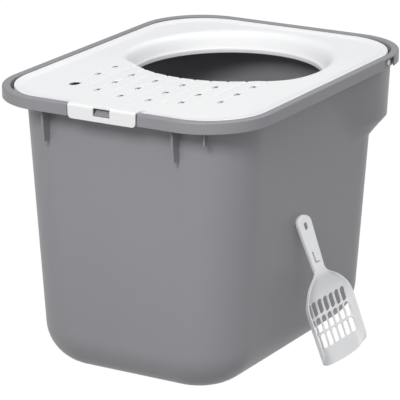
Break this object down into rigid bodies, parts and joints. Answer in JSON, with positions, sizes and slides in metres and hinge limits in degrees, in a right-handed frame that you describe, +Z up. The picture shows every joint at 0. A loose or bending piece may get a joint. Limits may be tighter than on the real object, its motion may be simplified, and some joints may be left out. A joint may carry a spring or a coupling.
{
  "type": "cat litter box",
  "caption": "Top-entry cat litter box: a deep tub, a pivoting lid with a round entry hole and drain panel, a snap latch, and a slotted scoop leaning on its side.",
  "frame": {"origin": "middle of the tub's flat underside", "axes": "+X to the right across the front, +Y from the front to the back, +Z up"},
  "size_m": [0.4427, 0.5211, 0.397],
  "materials": {
    "tub_plastic": "satin mid grey polypropylene",
    "lid_plastic": "satin white polypropylene",
    "scoop_plastic": "satin pale grey-white polypropylene"
  },
  "bodies": {
    "tub": {"tub": "tub_plastic"},
    "lid": {"lid": "lid_plastic"},
    "latch": {"latch_tab": "lid_plastic"},
    "scoop": {"scoop": "scoop_plastic"}
  },
  "joints": [
    {"name": "lid_hinge", "type": "hinge", "parent": "tub", "child": "lid", "pos_m": [0, 0.162, 0.3865], "axis": [-1, 0, 0], "range_deg": [0, 90]},
    {"name": "latch_flex", "type": "hinge", "parent": "lid", "child": "latch", "pos_m": [0, -0.2575, 0.397], "axis": [-1, 0, 0], "range_deg": [0, 20], "stiffness_Nm_per_rad": 0.1},
    {"name": "scoop_lift", "type": "slide", "parent": "tub", "child": "scoop", "axis": [0.6, 0, 0.8], "range_m": [0, 0.2]}
  ]
}
